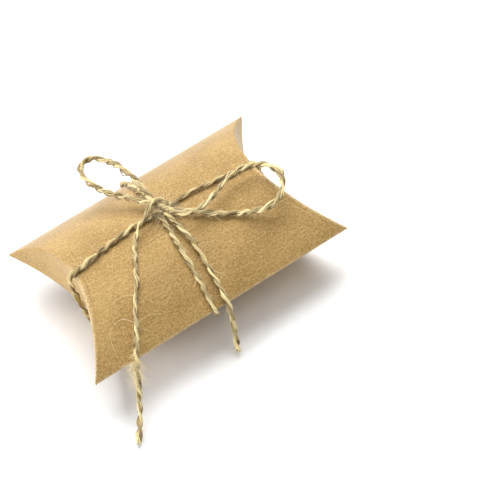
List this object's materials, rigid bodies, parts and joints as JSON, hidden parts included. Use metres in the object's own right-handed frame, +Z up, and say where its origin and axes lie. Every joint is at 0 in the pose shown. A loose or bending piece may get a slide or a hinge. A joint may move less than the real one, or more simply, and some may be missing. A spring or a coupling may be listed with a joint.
{
  "type": "pillow box",
  "caption": "Kraft card pillow box with arched panels, bowed end flaps that fold in over each other, and a jute twine parcel tie with a bow on top.",
  "frame": {"origin": "under the middle of the box, on the surface that it stands on", "axes": "+X along the box towards its right end, +Y from the front fold to the back fold, +Z up"},
  "size_m": [0.0894, 0.0837, 0.034],
  "materials": {
    "kraft_card": "matte unbleached kraft with fine fibre speckle",
    "jute_twine": "two-ply twisted natural jute with loose fibres"
  },
  "bodies": {
    "box": {"top_panel": "kraft_card", "bottom_panel": "kraft_card", "glue_flap": "kraft_card", "twine_top_left": "jute_twine", "twine_top_right": "jute_twine", "twine_left_end": "jute_twine", "twine_right_end": "jute_twine", "twine_under_lengthwise": "jute_twine", "twine_under_crosswise": "jute_twine", "twine_front": "jute_twine", "twine_back": "jute_twine", "bow_knot": "jute_twine", "bow_loop_left": "jute_twine", "bow_loop_right": "jute_twine", "bow_tail_left": "jute_twine", "bow_tail_right": "jute_twine"},
    "left_outer_flap": {"left_outer_flap": "kraft_card"},
    "left_inner_flap": {"left_inner_flap": "kraft_card"},
    "right_outer_flap": {"right_outer_flap": "kraft_card"},
    "right_inner_flap": {"right_inner_flap": "kraft_card"}
  },
  "joints": [
    {"name": "left_outer_flap_hinge", "type": "hinge", "parent": "box", "child": "left_outer_flap", "pos_m": [-0.0325, 0, 0.02705], "axis": [0, 1, 0], "range_deg": [0, 90], "deforming": ["twine_left_end"]},
    {"name": "right_outer_flap_hinge", "type": "hinge", "parent": "box", "child": "right_outer_flap", "pos_m": [0.0325, 0, 0.02705], "axis": [0, -1, 0], "range_deg": [0, 90], "deforming": ["twine_right_end"]},
    {"name": "left_inner_flap_hinge", "type": "hinge", "parent": "box", "child": "left_inner_flap", "pos_m": [-0.03135, 0, 0.00255], "axis": [0, 1, 0], "range_deg": [0, 80], "stiffness_Nm_per_rad": 0.0005, "springref_deg": -20.05},
    {"name": "right_inner_flap_hinge", "type": "hinge", "parent": "box", "child": "right_inner_flap", "pos_m": [0.03135, 0, 0.00255], "axis": [0, -1, 0], "range_deg": [0, 80], "stiffness_Nm_per_rad": 0.0005, "springref_deg": -20.05}
  ]
}
